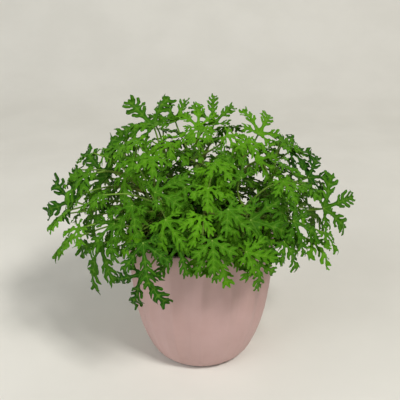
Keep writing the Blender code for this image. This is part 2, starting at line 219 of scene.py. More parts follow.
def round_end(obj, scale, along):
    """Narrows a finger's open end, moves its vein on and returns the places of its two corners."""
    bm = bmesh.from_edit_mesh(obj.data)
    vein = bm.verts.layers.float["vein"]
    chosen = [vert for vert in bm.verts if vert.select]
    centre = middle(chosen)
    for vert in chosen:
        vert.co = centre + (vert.co - centre) * scale + along * VEIN_LEAD * vert[vein]
    corners = [vert.co.copy() for vert in chosen if vert[vein] < 0.5]
    bmesh.update_edit_mesh(obj.data)
    return corners


# %% Model a lobe
FINGER_STEPS = [(0.40, 0.84), (0.40, 1.10), (0.20, 0.55)]  # share of a finger's length, scale there
TOOTH = 0.022  # how far a finger's teeth stand out
TOOTH_LEAN, TOOTH_TAPER = 0.7, 0.62  # how far they lean forwards, and how narrow they end


def model_lobe(name, stations, fingers, toothed=True):
    """stations: (distance from the hub, half width); fingers: (middle station, outwards, forwards)."""
    base = HUB * math.sin(LOBE_TURN / 2)
    rim = HUB * math.cos(LOBE_TURN / 2)
    first, half_width = stations[0]
    bpy.ops.object.select_all(action="DESELECT")
    bpy.ops.mesh.primitive_grid_add(x_subdivisions=1, y_subdivisions=2, size=1)
    lobe = bpy.context.object
    lobe.name = name
    start_edit(lobe)
    pick(lobe, "VERT", lambda co: co.x < 0)
    scale_about((-0.5, 0, 0), 1, 2 * base)
    bpy.ops.transform.translate(value=(0.5 + rim, 0, 0))
    pick(lobe, "VERT", lambda co: co.x < 0.4 and abs(co.y) < NEAR)
    bpy.ops.transform.translate(value=(HUB - rim, 0, 0))
    pick(lobe, "VERT", lambda co: co.x > 0.45)
    scale_about((0.5, 0, 0), 1, 2 * half_width)
    bpy.ops.transform.translate(value=(first - 0.5, 0, 0))
    mark(lobe, "vein", lambda vert: abs(vert.co.y) < NEAR)
    for (before, old_width), (distance, half_width) in zip(stations, stations[1:]):
        pick(lobe, "EDGE", lambda co: abs(co.x - before) < NEAR)
        extrude_by(distance - before, 0)
        scale_about((distance, 0, 0), 1, half_width / old_width)
    mark(lobe, "tip", lambda vert: vert.co.x > stations[-1][0] - NEAR)
    for station, outwards, forwards in fingers:
        ends = [stations[station + step] for step in (-1, 0, 1)]
        mark(lobe, "vein", lambda vert: abs(vert.co.x - ends[1][0]) < NEAR)
        for side in (1, -1):
            sides = [Vector((x, side * width, 0)) for x, width in ends]
            halves = [(sides[0] + sides[1]) / 2, (sides[1] + sides[2]) / 2]
            pick(lobe, "EDGE", lambda co: min((co - half).length for half in halves) < 0.003)
            along = Vector((forwards, side * outwards, 0)).normalized()
            corners = []
            for share, scale in FINGER_STEPS:
                extrude_by(forwards * share, side * outwards * share)
                corners.append(round_end(lobe, scale, along))
            mark(lobe, "tip", lambda vert: vert.select)
            if toothed:
                for lower, upper in zip(corners[0], corners[1]):
                    flank = (lower + upper) / 2
                    out = (flank - (corners[0][0] + corners[0][1]) / 2).normalized() + along * TOOTH_LEAN
                    pick(lobe, "EDGE", lambda co: (co - flank).length < 0.002)
                    extrude_by(*(out.normalized() * TOOTH))
                    round_end(lobe, TOOTH_TAPER, along * 0)
    end_edit()
    return lobe


middle_lobe = model_lobe(
    "middle_lobe",
    [(0.23, 0.050), (0.30, 0.050), (0.36, 0.056), (0.43, 0.062), (0.48, 0.054), (0.53, 0.060), (0.60, 0.064),
     (0.65, 0.054), (0.70, 0.058), (0.77, 0.056), (0.81, 0.048), (0.86, 0.050), (0.92, 0.044), (0.97, 0.036),
     (1.02, 0.022)],
    [(3, 0.13, 0.14), (6, 0.18, 0.15), (9, 0.15, 0.15), (12, 0.09, 0.11)],
)
side_lobe = model_lobe(
    "side_lobe",
    [(0.22, 0.048), (0.28, 0.050), (0.34, 0.056), (0.41, 0.062), (0.46, 0.054), (0.51, 0.058), (0.58, 0.060),
     (0.63, 0.052), (0.68, 0.052), (0.74, 0.048), (0.79, 0.040), (0.85, 0.024)],
    [(3, 0.13, 0.13), (6, 0.16, 0.14), (9, 0.10, 0.12)],
)
back_lobe = model_lobe(
    "back_lobe",
    [(0.20, 0.044), (0.25, 0.050), (0.31, 0.056), (0.36, 0.052), (0.41, 0.050), (0.47, 0.050), (0.52, 0.044),
     (0.57, 0.036), (0.62, 0.024)],
    [(2, 0.12, 0.10), (5, 0.12, 0.11)],
)
print("faces in the lobes", [len(lobe.data.polygons) for lobe in (middle_lobe, side_lobe, back_lobe)])

# %% [markdown]
# ## Five lobes make a leaf
# The lobes meet in an undivided middle, where the petiole holds the leaf. A circle filled with a fan of
# twelve triangles gives two edges to each lobe and leaves the last two for the notch at the back, whose
# vertex is pulled in to the petiole. The lobes are copied and turned round it, joined, and merged where
# they meet. Then the veins are pressed down, the blade gets a fine subdivision, which rounds the
# fingers, and at last a thickness. Half-grown leaves and unfolding ones have fewer, shorter fingers,
# so they're modelled as leaves of their own in the same way.


# %% Join the lobes
VEIN_SINK, TIP_SINK, BLADE_THICKNESS = 0.022, 0.016, 0.010  # shares of the middle lobe's length
NOTCH = 0.75  # how far the leaf is open from its back edge in to its petiole, as a share of the hub
LEAF_FINISHES = [bpy.data.materials.new(name) for name in ("leaf_top", "leaf_underside", "petiole_skin")]


def turned_copy(lobe, turn):
    choose(lobe)
    bpy.ops.object.duplicate()
    copy = bpy.context.object
    copy.data.transform(Matrix.Rotation(turn, 4, "Z"))
    return copy


def join_leaf(name, lobes, levels):
    """Joins copies of the lobes, listed from the middle one outwards, round a hub."""
    bpy.ops.object.select_all(action="DESELECT")
    bpy.ops.mesh.primitive_circle_add(vertices=12, radius=HUB, fill_type="TRIFAN")
    leaf = bpy.context.object
    leaf.name = name
    pieces = [turned_copy(lobes[0], 0)]
    for place, lobe in enumerate(lobes[1:], 1):
        pieces += [turned_copy(lobe, side * place * LOBE_TURN) for side in (1, -1)]
    choose(*pieces, leaf)
    bpy.ops.object.join()
    start_edit(leaf)
    mark(leaf, "vein", lambda vert: vert.co.length < NEAR)
    mark(leaf, "stalk", lambda vert: vert.co.length < NEAR)
    pick(leaf, "VERT", lambda co: co.x < -HUB + 0.01 and abs(co.y) < NEAR)
    bpy.ops.transform.translate(value=(HUB * NOTCH, 0, 0))
    bpy.ops.mesh.select_all(action="SELECT")
    bpy.ops.mesh.remove_doubles(threshold=0.002)
    bpy.ops.mesh.normals_make_consistent(inside=False)
    bm = bmesh.from_edit_mesh(leaf.data)
    if sum(face.normal.z * face.calc_area() for face in bm.faces) < 0:
        bpy.ops.mesh.flip_normals()
    for value, sink in (("vein", VEIN_SINK), ("tip", TIP_SINK)):
        layer = bm.verts.layers.float[value]
        for vert in bm.verts:
            vert.select_set(vert[layer] > 0.5)
        bm.select_flush_mode()
        bpy.ops.transform.translate(value=(0, 0, -sink))
    end_edit()
    leaf.modifiers.new("round", "SUBSURF")
    leaf.modifiers["round"].levels = leaf.modifiers["round"].render_levels = levels
    wall = leaf.modifiers.new("wall", "SOLIDIFY")
    wall.thickness = BLADE_THICKNESS
    wall.offset = 0
    wall.material_offset = 1
    for finish in LEAF_FINISHES:
        leaf.data.materials.append(finish)
    for modifier in ("round", "wall"):
        bpy.ops.object.modifier_apply(modifier=modifier)
    bpy.ops.object.shade_smooth_by_angle(angle=math.radians(55))
    for lobe in lobes:
        bpy.data.objects.remove(lobe)
    return leaf


full_leaf = join_leaf("full_leaf", [middle_lobe, side_lobe, back_lobe], 2)
half_leaf = join_leaf(
    "half_leaf",
    [
        model_lobe(
            "half_middle_lobe",
            [(0.22, 0.042), (0.34, 0.050), (0.42, 0.056), (0.48, 0.050), (0.56, 0.058), (0.64, 0.058),
             (0.70, 0.050), (0.78, 0.054), (0.86, 0.050), (0.94, 0.042), (1.02, 0.024)],
            [(1, 0.14, 0.15), (4, 0.17, 0.16), (7, 0.12, 0.13)],
        ),
        model_lobe(
            "half_side_lobe",
            [(0.22, 0.042), (0.33, 0.050), (0.41, 0.056), (0.47, 0.050), (0.55, 0.056), (0.63, 0.052),
             (0.73, 0.044), (0.80, 0.026)],
            [(1, 0.14, 0.14), (4, 0.14, 0.14)],
        ),
        model_lobe(
            "half_back_lobe",
            [(0.20, 0.040), (0.29, 0.050), (0.37, 0.054), (0.47, 0.046), (0.57, 0.028)],
            [(1, 0.13, 0.12)],
        ),
    ],
    1,
)
young_leaf = join_leaf(
    "young_leaf",
    [
        model_lobe(
            "young_middle_lobe",
            [(0.30, 0.070), (0.40, 0.080), (0.50, 0.084), (0.60, 0.074), (0.70, 0.080), (0.80, 0.074),
             (0.92, 0.060), (1.00, 0.036)],
            [(1, 0.15, 0.13), (4, 0.13, 0.14)],
            toothed=False,
        ),
        model_lobe(
            "young_side_lobe",
            [(0.28, 0.070), (0.38, 0.078), (0.48, 0.076), (0.58, 0.066), (0.68, 0.068), (0.78, 0.056),
             (0.84, 0.034)],
            [(1, 0.14, 0.12), (4, 0.10, 0.11)],
            toothed=False,
        ),
        model_lobe(
            "young_back_lobe",
            [(0.26, 0.064), (0.36, 0.074), (0.46, 0.066), (0.56, 0.050), (0.62, 0.030)],
            [(1, 0.12, 0.10)],
            toothed=False,
        ),
    ],
    1,
)
patterns = {"full": full_leaf, "half": half_leaf, "young": young_leaf}
print({name: len(leaf.data.polygons) for name, leaf in patterns.items()})

# %% [markdown]
# ## Bend a copy of the leaf to its place
# No leaf stays flat. A blade rises a little round its petiole and droops towards its tips, its lobes
# spread more or less, one side grows longer than the other and the edges ruffle. All of that is done on
# a copy of the pattern's vertices, with a few smooth waves round the leaf whose phases come from a
# seeded generator, and last the copy is laid in the leaf's own frame: its hub, the way its middle lobe
# points, and its normal. The petiole is a thin curve through the middles that were read above. It's
# thicker where it leaves the stem, and it's joined to its blade because they are one leaf.

# %% Lay a blade
LEAF_CUP, LEAF_DROOP = 0.12, 0.30  # how the blade rises from its hub and bends down to its tips
BACK_SHORTER = 0.22  # how much shorter the lobes beside the petiole are than in the pattern


def wave(turn, dice, most):
    """A smooth wave round the leaf, at most about most high."""
    phases = [(count, dice.uniform(0, 2 * math.pi)) for count in (1, 2, 3)]
    return most * sum(np.cos(count * turn + phase) / count for count, phase in phases) / 1.4


def lay_blade(name, pattern, leaf, dice, crinkle, spread):
    """A bent copy of a pattern leaf, in its own mesh, at its place."""
    mesh = patterns[pattern].data.copy()
    mesh.name = name
    x, y, relief = corner_places(mesh).T
    turn, reach = np.arctan2(y, x), np.hypot(x, y)
    axis = np.round(turn / LOBE_TURN) * LOBE_TURN
    beside = reach * np.sin(turn - axis)
    fold = dice.uniform(-0.5, 0.9)
    behind = np.clip(np.abs(turn) / LOBE_TURN - 1, 0, 1)
    uneven = 1 + wave(turn, dice, 0.07) * np.clip(reach / 0.4, 0, 1)
    grown = reach * uneven * (1 - BACK_SHORTER * behind)
    swung = turn * spread * (1 + wave(turn, dice, 0.05)) + wave(turn, dice, 0.12) * reach**2
    lift = LEAF_CUP * grown - LEAF_DROOP * (1 + wave(turn, dice, 0.45)) * grown**2 - fold * beside**2
    ruffles = [[dice.uniform(*ends) for ends in ((8, 15), (8, 15), (0, 6), (0, 6))] for _ in range(3)]
    for along, across, one, other in ruffles:
        lift += crinkle * reach * np.sin(along * x + one) * np.sin(across * y + other)
    lift += crinkle * 0.25 * np.sin(41 * x + ruffles[0][2]) * np.sin(37 * y + ruffles[1][2])
    ahead, normal = np.array(leaf["ahead"]), np.array(leaf["normal"])
    across = np.cross(normal, ahead)
    flat = np.outer(grown * np.cos(swung), ahead) + np.outer(grown * np.sin(swung), across)
    placed = np.array(leaf["hub"]) + leaf["size"] * (flat + np.outer(lift + relief, normal))
    mesh.vertices.foreach_set("co", placed.ravel())
    mesh.update()
    blade = bpy.data.objects.new(name, mesh)
    bpy.context.scene.collection.objects.link(blade)
    return blade


# %% Draw a tube through points
def smooth_line(points, count):
    """Points spaced along a smooth curve through the given ones."""
    ends = [2 * points[0] - points[1], *points, 2 * points[-1] - points[-2]]
    line = []
    for step in range(count):
        place = step / (count - 1) * (len(points) - 1)
        span = min(int(place), len(points) - 2)
        t = place - span
        a, b, c, d = ends[span : span + 4]
        bend, twist = 2 * a - 5 * b + 4 * c - d, 3 * b - a - 3 * c + d
        line.append(0.5 * (2 * b + (c - a) * t + bend * t**2 + twist * t**3))
    return line


def tube(name, line, radii, sides=6):
    """A closed round tube along a line, as a mesh."""
    curve = bpy.data.curves.new(name, "CURVE")
    curve.dimensions = "3D"
    curve.bevel_depth = 1
    curve.bevel_resolution = sides // 2 - 2
    curve.use_fill_caps = True
    spline = curve.splines.new("POLY")
    spline.points.add(len(line) - 1)
    for point, place, radius in zip(spline.points, line, radii):
        point.co = (*place, 1)
        point.radius = radius
    obj = bpy.data.objects.new(name, curve)
    bpy.context.scene.collection.objects.link(obj)
    choose(obj)
    bpy.ops.object.convert(target="MESH")
    bpy.ops.object.shade_smooth()
    return bpy.context.object


def corner_places(mesh):
    """The places of a mesh's vertices, a row for each."""
    places = np.empty(3 * len(mesh.vertices))
    mesh.vertices.foreach_get("co", places)
    return places.reshape(-1, 3)


def set_value(mesh, name, values):
    """A value on every vertex, for the materials."""
    layer = mesh.attributes.get(name) or mesh.attributes.new(name, "FLOAT", "POINT")
    layer.data.foreach_set("value", np.broadcast_to(np.float32(values), len(mesh.vertices)).copy())


# %% Grow a leaf
PETIOLE_ROOT, PETIOLE_NECK = 0.00125, 0.00080  # radii at the stem and at the blade
PETIOLE_POINTS = 14
ROOTED = 0.0012  # how far a petiole reaches into its stem


def grow_leaf(name, leaf, pattern, age, dice, crinkle, spread):
    """age: 0 for a leaf that has just unfolded, 1 for an old one; crinkle: how much it ruffles."""
    blade = lay_blade(name, pattern, leaf, dice, crinkle, spread)
    start = leaf["line"][0] - (leaf["line"][1] - leaf["line"][0]).normalized() * ROOTED
    line = smooth_line([start, *leaf["line"][1:-1], leaf["hub"]], PETIOLE_POINTS)
    slim = min(1.0, 0.6 + leaf["size"] / 0.1)
    shares = [step / (PETIOLE_POINTS - 1) for step in range(PETIOLE_POINTS)]
    radii = []
    for share in shares:
        swell = 1 + 0.5 * math.exp(-14 * share) + 0.15 * math.exp(-14 * (1 - share))
        radii.append(slim * (PETIOLE_ROOT + (PETIOLE_NECK - PETIOLE_ROOT) * share) * swell)
    petiole = tube(name + "_petiole", line, radii)
    for finish in LEAF_FINISHES:
        petiole.data.materials.append(finish)
    petiole.data.polygons.foreach_set("material_index", [2] * len(petiole.data.polygons))
    start_to_end = np.array(line[-1] - line[0])
    along = (corner_places(petiole.data) - np.array(line[0])) @ start_to_end / (start_to_end @ start_to_end)
    set_value(petiole.data, "stalk", along)
    choose(petiole, blade)
    bpy.ops.object.join()
    set_value(blade.data, "age", age)
    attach(blade, "root")
    return blade


# %% Grow the leaves that the frame holds
FULL_FROM = 0.0295  # middle lobe of the smallest leaf that is worth the full pattern
OLD_SIZE = 0.042  # middle lobe of a leaf that has stopped growing
CRINKLE, SMALL_CRINKLE = 0.052, 0.065  # how high the edges ruffle, as a share of the middle lobe
dice = random.Random(5)
widest = max(math.hypot(*leaf["hub"].xy) for leaf in leaves.values())
for name, leaf in leaves.items():
    outward = math.hypot(*leaf["hub"].xy) / widest
    grown_up = outward + (leaf["size"] - OLD_SIZE) / OLD_SIZE + dice.uniform(-0.35, 0.35)
    age = min(1.0, max(0.0, grown_up))
    pattern = "full" if leaf["size"] > FULL_FROM else "half"
    spread = dice.uniform(0.72, 0.88)
    grow_leaf(name + "_blade", leaf, pattern, age, dice, CRINKLE, spread)
    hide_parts(name)

# %% [markdown]
# ## Fill the crown
# A healthy plant has more leaves than can be told apart: small ones crowd round each stem's tip and
# lie between the large ones. Placing them by hand would take hours and still leave them crossing. Each
# new leaf instead gets a few dozen chances, each on another stem, at another height and to another
# side, and takes the one that lies farthest from all the leaves so far. That fills the widest gaps first.

# %% Choose places for the small leaves
SMALL_LEAVES = 146
CHANCES = 60
LARGEST, SHRINKAGE = 0.034, 0.014  # middle lobe of the first small leaf, and how much the last one lacks
HALF_FROM = 0.024  # middle lobe above which a small leaf has the half-grown pattern
rim_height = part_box("pot")[1].z
low, high = cad_box
dome_middle = Vector(((low.x + high.x) / 2, (low.y + high.y) / 2, rim_height - 0.012))
dome_size = Vector(((high.x - low.x) / 2, (high.y - low.y) / 2, high.z - dome_middle.z))
stem_places = [point for points, radii in stems.values() for point in smooth_line(points, 24)[8:]]


def leaf_marks(leaf):
    """A few points spread over a leaf's blade."""
    across = leaf["normal"].cross(leaf["ahead"])
    marks = [leaf["hub"]]
    for turn in (0, 50, -50, 100, -100):
        way = leaf["ahead"] * math.cos(math.radians(turn)) + across * math.sin(math.radians(turn))
        length = 1.0 - 0.003 * abs(turn)
        for share in (0.45 * length, 0.95 * length):
            rise = LEAF_CUP * share - LEAF_DROOP * share**2
            marks.append(leaf["hub"] + leaf["size"] * (way * share + leaf["normal"] * rise))
    return marks


def in_dome(point):
    """How far out a point lies, from 0 in the middle of the crown to 1 on its outside."""
    return Vector((p - m) / s for p, m, s in zip(point, dome_middle, dome_size)).length


def small_leaf(start, hub, rise, normal, ahead, size):
    """A leaf's facts from its petiole's ends, how far that bows upwards, and the ways the leaf faces."""
    bent = start.lerp(hub, 0.5) + Vector((0, 0, rise * (hub - start).length))
    ahead -= normal * ahead.dot(normal)
    line = smooth_line([start, bent, hub], 6)
    return {"line": line, "hub": hub, "normal": normal, "ahead": ahead.normalized(), "size": size}


def chance(dice, size):
    """A leaf of this size somewhere in the crown, on a petiole from the stem that suits it best."""
    azimuth, climb = dice.uniform(0, 2 * math.pi), dice.uniform(0.10, 1.0)
    flat = math.sqrt(1 - climb**2)
    way = Vector((flat * math.cos(azimuth), flat * math.sin(azimuth), climb))
    outward = Vector(w * s for w, s in zip(way, dome_size))
    hub = dome_middle + outward * dice.uniform(0.15, 0.92)
    start = min(stem_places, key=lambda place: (place - hub).length + max(0, place.z - hub.z + 0.01))
    lean = Vector((dice.uniform(-0.35, 0.35), dice.uniform(-0.35, 0.35), 0))
    normal = (Vector((0, 0, 0.75)) + outward.normalized() * 0.7 + lean).normalized()
    ahead = outward.normalized() + Vector((0, 0, -0.15)) + lean * 1.5
    return small_leaf(start, hub, 0.10, normal, ahead, size)


def rim_chance(dice, size):
    """A leaf of this size that leans out over the pot's rim."""
    azimuth = dice.uniform(0, 2 * math.pi)
    way = Vector((math.cos(azimuth), math.sin(azimuth), 0))
    hub = way * dice.uniform(0.050, 0.078) + Vector((0, 0, rim_height + dice.uniform(0.004, 0.018)))
    start = min(stem_places, key=lambda place: (place - hub).length)
    normal = (Vector((0, 0, 1)) + way * dice.uniform(0.4, 0.9)).normalized()
    ahead = way + Vector((-way.y, way.x, 0)) * dice.uniform(-1.2, 1.2)
    return small_leaf(start, hub, 0.12, normal, ahead, size)


def clear_of_pot(mark):
    """Whether a point is high enough for where it lies: over the soil, over the rim or outside the pot."""
    across = math.hypot(*mark.xy)
    above = -0.010 if across < 0.060 else 0.003 if across < 0.080 else -0.014
    return mark.z > rim_height + above


def fits(leaf):
    """Whether a leaf stays in the crown, clear of the pot."""
    return (leaf["line"][-1] - leaf["line"][0]).length > 0.010 and all(
        clear_of_pot(mark) and in_dome(mark) < 0.98 for mark in leaf_marks(leaf)
    )


taken = [mark for leaf in leaves.values() for mark in leaf_marks(leaf)]
small_leaves = []
for count in range(SMALL_LEAVES):
    size = LARGEST - SHRINKAGE * count / SMALL_LEAVES
    cloud = np.array(taken)
    best, most = None, 0
    for _ in range(CHANCES):
        leaf = (rim_chance if count % 5 == 0 else chance)(dice, size)
        if fits(leaf):
            marks = np.array(leaf_marks(leaf))
            clear = np.linalg.norm(marks[:, None] - cloud[None], axis=2).min(axis=1)
            room = clear.min() + 0.5 * clear.mean()
            if room > most:
                best, most = leaf, room
    if best is None:
        continue
    pattern = "half" if size > HALF_FROM else "young"
    age = min(1.0, dice.uniform(0.0, 0.5) + 0.35 * (in_dome(best["hub"]) < 0.7))
    small = grow_leaf(f"small_leaf_{count + 1:02d}", best, pattern, age, dice, SMALL_CRINKLE, 0.9)
    small_leaves.append(small)
    taken += leaf_marks(best)
print("small leaves", len(small_leaves), "faces", sum(len(leaf.data.polygons) for leaf in small_leaves))

# %% [markdown]
# ## Stems
# A geranium's stem is soft and green when it's young and turns brown and corky from the soil up. It's
# swollen at every node, where a leaf left it. The line through the middles of the frame's stem gives
# the way it leans, and the swellings are only a wave on its radius.

# %% Grow the stems
STEM_RINGS = 90
NODE_GAP = 0.011  # from one swelling to the next
for name, (points, radii) in stems.items():
    line = smooth_line(points, STEM_RINGS)
    length = sum((b - a).length for a, b in zip(points, points[1:]))
    phase = dice.random()
    thick = []
    for ring in range(STEM_RINGS):
        share = ring / (STEM_RINGS - 1)
        radius = radii[0] + (radii[-1] - radii[0]) * share
        knot = abs(((share * length / NODE_GAP + phase) % 1) - 0.5) * 2
        tip = math.sqrt(max(0.05, 1 - max(0.0, (share - 0.97) / 0.03) ** 2))
        thick.append(radius * (0.92 + 0.22 * math.exp(-((1 - knot) * 5) ** 2)) * tip)
    stem = tube(name + "_bark", line, thick, sides=12)
    heights = corner_places(stem.data)[:, 2]
    set_value(stem.data, "height", (heights - points[0].z) / (points[-1].z - points[0].z))
    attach(stem, "root")
    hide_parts(name)
print("stems", len(stems))

# %% [markdown]
# ## The pot
# The pot is one thin moulding with sixteen soft folds, each leaning to one side as it rises, so it
# looks like folded paper. A turned shape comes first: half its outline is drawn as a chain of edges and
# spun round the axis. The folds are then taken from the frame's own pot. A ray from each outer vertex
# towards the axis finds how far out the frame's wall stands there, and the mean of a few neighbouring
# rays softens its sharp facets into rounded ones.

# %% Measure the frame's pot
pot_mesh = merged_copy("pot")
pot_walls = BVHTree.FromBMesh(pot_mesh)
pot_mesh.free()
FAR = 0.2  # a ray starts this far out, clear of the pot
FOOT_ROUNDING = 0.009
POT_TURNS = 320  # steps of the spin
FOLD_SOFTNESS = math.radians(0.35)
FOLD_DEPTH = 2.0  # the folds are this many times as deep as the frame's


def wall_outside(azimuth, z):
    """How far out the frame's pot reaches at an azimuth and height."""
    way = Vector((math.cos(azimuth), math.sin(azimuth), 0))
    hit = pot_walls.ray_cast(way * FAR + Vector((0, 0, z)), -way)[0]
    return math.hypot(hit.x, hit.y)


def wall_inside(z):
    hit = pot_walls.ray_cast(Vector((0, 0, z)), Vector((1, 0, 0)))[0]
    return math.hypot(hit.x, hit.y)


def soft_wall(azimuth, z):
    return sum(wall_outside(azimuth + step * FOLD_SOFTNESS, z) for step in (-2, -1, 0, 1, 2)) / 5


floor_top = pot_walls.ray_cast(Vector((0, 0, rim_height)), Vector((0, 0, -1)))[0].z
print("pot height", round(rim_height, 4), "floor", round(floor_top, 4))

# %% Spin the pot
LIP = 0.0009  # rounding of the rim
ROUNDING_STEPS = (0, 8, 18, 30, 42, 54, 66, 78)  # degrees round the foot
side_heights = [FOOT_ROUNDING + (rim_height - LIP - FOOT_ROUNDING) * step / 26 for step in range(27)]
rounding_heights = [FOOT_ROUNDING * (1 - math.cos(math.radians(turn))) for turn in ROUNDING_STEPS]
outline = [(0.0, 0.0), (0.4 * wall_outside(0, 0.0002), 0.0)]
outline += [(wall_outside(0, max(z, 0.0002)), z) for z in rounding_heights + side_heights]
outer_lip, inner_lip = wall_outside(0, rim_height - 0.001), wall_inside(rim_height - 0.001)
outline += [(outer_lip - 0.3 * LIP, rim_height - 0.3 * LIP), (outer_lip - LIP, rim_height)]
outline += [(inner_lip + LIP, rim_height), (inner_lip + 0.3 * LIP, rim_height - 0.3 * LIP)]
outline += [(wall_inside(z), z) for z in (rim_height - LIP, 0.125, 0.1, 0.07, 0.04, 0.02, floor_top + 0.002)]
outline += [(wall_inside(floor_top + 0.002) - 0.002, floor_top), (0.0, floor_top)]


def spin_outline(name, outline, turns):
    """Draws an outline of (radius, height) pairs as edges and spins it to a closed shape."""
    bpy.ops.object.select_all(action="DESELECT")
    bpy.ops.mesh.primitive_plane_add(size=0.01)
    obj = bpy.context.object
    obj.name = obj.data.name = name
    bpy.ops.object.mode_set(mode="EDIT")
    bpy.ops.mesh.select_all(action="SELECT")
    bpy.ops.mesh.merge(type="CENTER")
    bm = bmesh.from_edit_mesh(obj.data)
    bm.verts.ensure_lookup_table()
    bm.verts[0].co = (outline[0][0], 0, outline[0][1])
    bm.verts[0].select_set(True)
    bmesh.update_edit_mesh(obj.data)
    bpy.ops.mesh.select_mode(type="VERT")
    for (radius, z), (next_radius, next_z) in zip(outline, outline[1:]):
        extrude_by(next_radius - radius, 0, next_z - z)
    bpy.ops.mesh.select_all(action="SELECT")
    bpy.ops.mesh.spin(steps=turns, angle=2 * math.pi, center=(0, 0, 0), axis=(0, 0, 1))
    bpy.ops.mesh.select_all(action="SELECT")
    bpy.ops.mesh.remove_doubles(threshold=0.00001)
    bpy.ops.mesh.normals_make_consistent(inside=False)
    end_edit()
    return obj


pot = spin_outline("pleated_pot", outline, POT_TURNS)
print("pot faces", len(pot.data.polygons))

# %% Fold its wall
for vert in pot.data.vertices:
    z, distance = vert.co.z, math.hypot(*vert.co.xy)
    height = min(max(z, 0.0006), rim_height - 0.0006)
    if z > 0.0005 and distance > wall_inside(max(height, floor_top + 0.0005)) + 1.2 * LIP:
        azimuth = math.atan2(vert.co.y, vert.co.x)
        ridge = wall_outside(0, height)
        pushed = distance - FOLD_DEPTH * (ridge - soft_wall(azimuth, height))
        vert.co.x *= pushed / distance
        vert.co.y *= pushed / distance
choose(pot)
bpy.ops.object.shade_smooth_by_angle(angle=math.radians(40))
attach(pot, "root")
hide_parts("pot")
print("pot box", [round(v, 4) for v in pot.dimensions])

# %% [markdown]
# ## Soil
# Potting soil is dark, crumbly and never level. The top of a spun plug is pushed up and down by noise,
# first in broad humps and then in lumps the size of peas, and loose crumbs lie on it. A crumb is seen
# as a speck, so twenty faces are plenty, and all of them are joined to the plug.

# %% Turn the plug and roughen its top
soil_low, soil_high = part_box("soil")
soil_mesh = merged_copy("soil")
soil_shape = BVHTree.FromBMesh(soil_mesh)
soil_mesh.free()
SOIL_RINGS, SOIL_TURNS = 34, 150
SOIL_LUMPS = ((0.0022, 40), (0.0016, 160), (0.0008, 480))  # height of the humps, and how close they lie
soil_edge = max(abs(soil_low.x), soil_high.x)


def soil_top(distance):
    """Height of the frame's soil at a distance from the axis, read beside the stems' sockets."""
    heights = []
    for turn in range(0, 360, 15):
        way = Vector((math.cos(math.radians(turn)), math.sin(math.radians(turn)), 0))
        hit = soil_shape.ray_cast(way * distance + Vector((0, 0, FAR)), Vector((0, 0, -1)))[0]
        if hit:
            heights.append(hit.z)
    return max(heights)


def soil_side(z):
    hit = soil_shape.ray_cast(Vector((FAR, 0, z)), Vector((-1, 0, 0)))[0]
    return hit.x


def soil_lumps(place):
    """How far the soil stands above its mean height at a place."""
    return sum(height * noise.noise(place * scale) for height, scale in SOIL_LUMPS)


edge_height = soil_top(soil_edge * 0.985)
outline = [(0.0, soil_low.z), (soil_side(soil_low.z + 0.001) * 0.99, soil_low.z)]
outline += [(soil_side(z) * 0.996, z) for z in (0.01, 0.02, 0.04, 0.07, 0.1, edge_height - 0.003)]
rings = [soil_edge * 0.985 * (1 - step / SOIL_RINGS) for step in range(SOIL_RINGS)]
outline += [(distance, soil_top(distance)) for distance in rings] + [(0.0, soil_top(0.0005))]
soil = spin_outline("potting_soil", outline, SOIL_TURNS)
for vert in soil.data.vertices:
    distance = math.hypot(*vert.co.xy)
    if vert.co.z > edge_height - 0.001 and distance < soil_edge * 0.97:
        vert.co.z += soil_lumps(vert.co)
print("soil edge at", round(edge_height, 4), "faces", len(soil.data.polygons))

# %% Scatter crumbs
CRUMBS = 420
bpy.ops.object.select_all(action="DESELECT")
bpy.ops.mesh.primitive_ico_sphere_add(subdivisions=1, radius=1)
crumb = bpy.context.object
crumbs = bmesh.new()
for _ in range(CRUMBS):
    distance, azimuth = soil_edge * 0.95 * math.sqrt(dice.random()), dice.uniform(0, 2 * math.pi)
    size = dice.uniform(0.0006, 0.0017) * (1.5 if dice.random() < 0.1 else 1)
    at = Vector((distance * math.cos(azimuth), distance * math.sin(azimuth), soil_top(distance) + 0.3 * size))
    angle, axis = dice.uniform(0, 6), Vector([dice.uniform(-1, 1) for _ in range(3)])
    turn = Matrix.Rotation(angle, 4, axis.normalized())
    flat = Matrix.Diagonal((size, size * dice.uniform(0.6, 1), size * dice.uniform(0.5, 0.9), 1))
    before = len(crumbs.verts)
    crumbs.from_mesh(crumb.data)
    crumbs.verts.ensure_lookup_table()
    for vert in crumbs.verts[before:]:
        vert.co = at + turn @ (flat @ (vert.co * (1 + 0.35 * noise.noise(vert.co * 2 + at * 900))))
crumbs.to_mesh(crumb.data)
crumbs.free()
choose(crumb, soil)
bpy.ops.object.join()
bpy.ops.object.shade_smooth_by_angle(angle=math.radians(60))
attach(soil, "root")
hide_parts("soil")
for pattern in patterns.values():
    bpy.data.objects.remove(pattern)
print("soil faces", len(soil.data.polygons))

# %% [markdown]
# ## Materials
# Each material is a short recipe of nodes. A small helper adds a node and plugs in what it's given: a
# number is set on the socket, and another node's output is linked to it.


